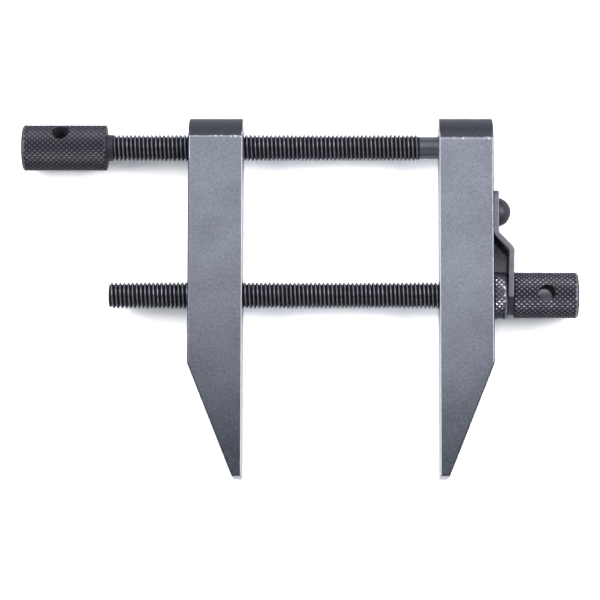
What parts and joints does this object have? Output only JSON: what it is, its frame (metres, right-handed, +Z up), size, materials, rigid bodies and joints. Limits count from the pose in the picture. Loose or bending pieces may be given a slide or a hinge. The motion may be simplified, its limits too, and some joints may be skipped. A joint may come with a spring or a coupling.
{
  "type": "toolmakers clamp",
  "caption": "Steel parallel-jaw clamp: tapered bar jaws drawn together by a grooved inner screw held by a forked clip and an outer screw that bears in a socket.",
  "frame": {"origin": "centre of the bounding box's bottom face, with the clamp lying on the side faces of its jaws", "axes": "+X along both screws towards the knurled head of the inner screw, +Y from the jaw tips to the rounded jaw ends, +Z up through the thickness of the jaws"},
  "size_m": [0.1676, 0.1088, 0.016],
  "materials": {
    "jaw_steel": "ground side and clamping faces, blackened backs and edges",
    "screw_steel": "black oxide, knurled heads",
    "clip_steel": "black oxide",
    "clip_screw_steel": "black oxide"
  },
  "bodies": {
    "fixed_jaw": {"plain_jaw": "jaw_steel", "retaining_clip": "clip_steel", "clip_screw": "clip_screw_steel"},
    "sliding_jaw": {"threaded_jaw": "jaw_steel"},
    "outer_screw": {"outer_screw": "screw_steel"},
    "inner_screw": {"inner_screw": "screw_steel"}
  },
  "joints": [
    {"name": "inner_screw_turn", "type": "hinge", "parent": "fixed_jaw", "child": "inner_screw", "pos_m": [0, 0.00057, 0.008], "axis": [1, 0, 0], "range_deg": [-17055, 6600]},
    {"name": "outer_screw_turn", "type": "hinge", "parent": "fixed_jaw", "child": "outer_screw", "pos_m": [0, 0.04557, 0.008], "axis": [1, 0, 0], "range_deg": [-17065, 6610]},
    {"name": "jaw_slide", "type": "slide", "parent": "fixed_jaw", "child": "sliding_jaw", "axis": [-1, 0, 0], "range_m": [-0.05925, 0.02295]}
  ],
  "couplings": [
    {"joint": "outer_screw_turn", "follows": "inner_screw_turn", "ratio": 1},
    {"joint": "jaw_slide", "follows": "inner_screw_turn", "m_per_rad": 0.00019894}
  ]
}
